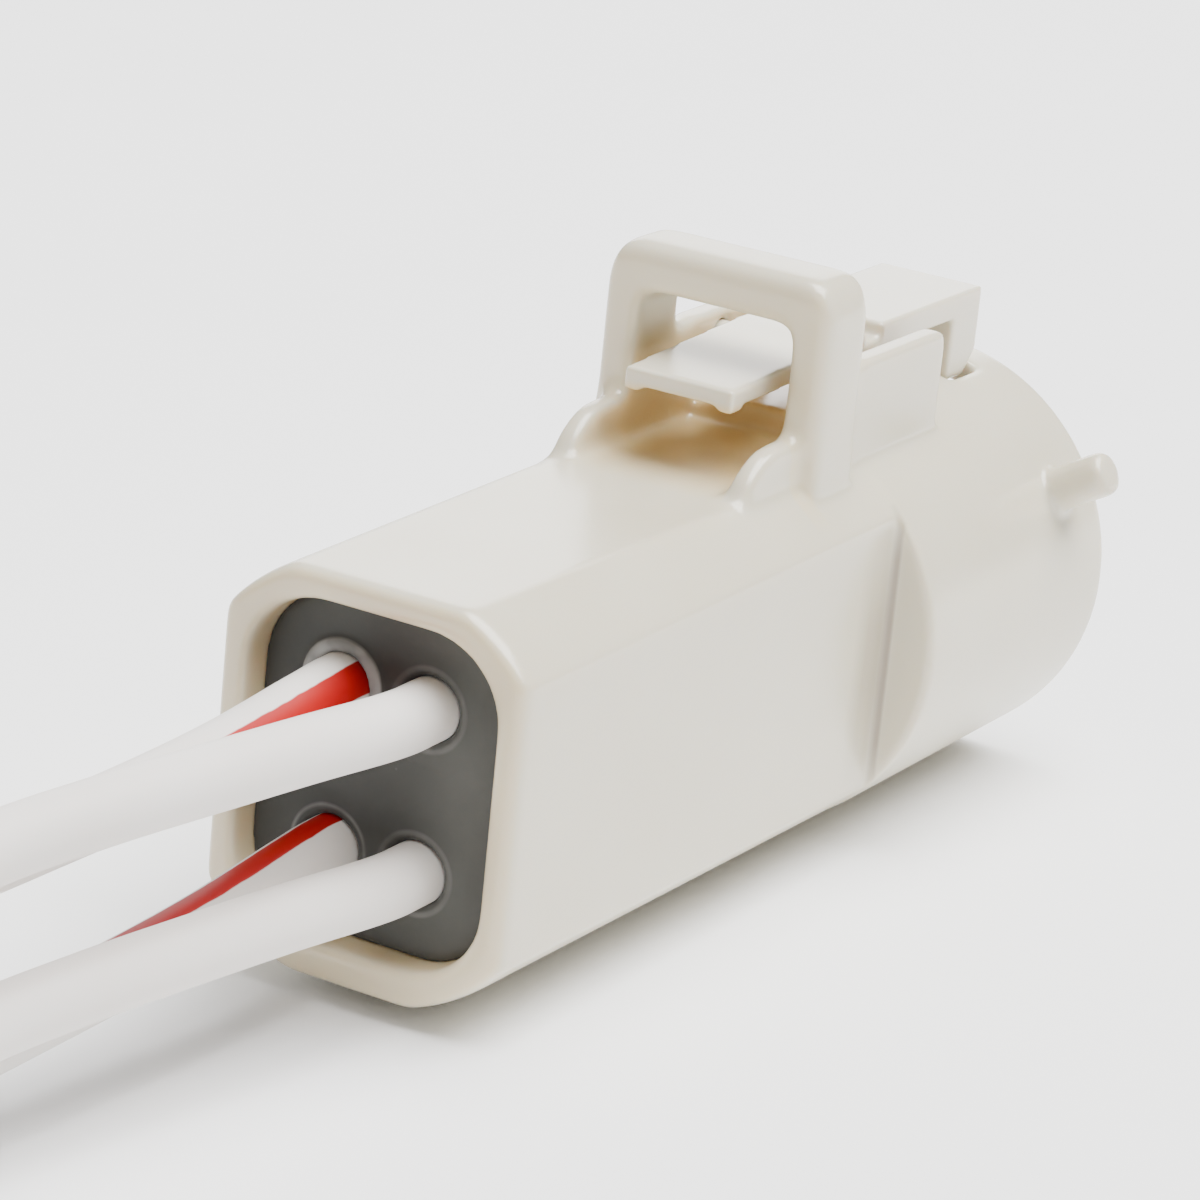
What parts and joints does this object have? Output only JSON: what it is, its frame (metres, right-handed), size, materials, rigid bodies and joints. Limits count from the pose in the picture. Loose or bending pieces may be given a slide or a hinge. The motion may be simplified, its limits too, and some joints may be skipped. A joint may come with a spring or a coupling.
{
  "type": "sealed automotive connector",
  "caption": "Sealed wire-to-wire connector half with a flat-sided body, round skirt, guarded rocking latch, keying peg, mat seal and insulated leads.",
  "frame": {"origin": "centre of the skirt's mouth, on the skirt's axis", "axes": "+Y along the skirt's axis out of the mouth towards the mating half, +Z towards the latch, +X towards the keying peg's side"},
  "size_m": [0.0258, 0.1631, 0.028],
  "materials": {
    "shell": "satin moulded",
    "seal": "matte silicone",
    "lock": "satin moulded",
    "tin": "tinned",
    "copper": "stranded",
    "jacket": "extruded satin",
    "tie": "satin moulded"
  },
  "bodies": {
    "connector": {"housing": "shell", "rear_seal": "seal", "interface_seal": "seal", "front_lock": "lock", "lead_hank": "jacket", "hank_tie": "tie", "terminal_1": "tin", "conductor_1": "copper", "wire_1": "jacket", "bare_end_1": "copper", "terminal_2": "tin", "conductor_2": "copper", "wire_2": "jacket", "bare_end_2": "copper", "terminal_3": "tin", "conductor_3": "copper", "wire_3": "jacket", "bare_end_3": "copper", "terminal_4": "tin", "conductor_4": "copper", "wire_4": "jacket", "bare_end_4": "copper"},
    "latch": {"latch_lever": "shell"}
  },
  "joints": [
    {"name": "latch_release", "type": "hinge", "parent": "connector", "child": "latch", "pos_m": [0, -0.0158, 0.01205], "axis": [1, 0, 0], "range_deg": [0, 10], "stiffness_Nm_per_rad": 0.8}
  ]
}
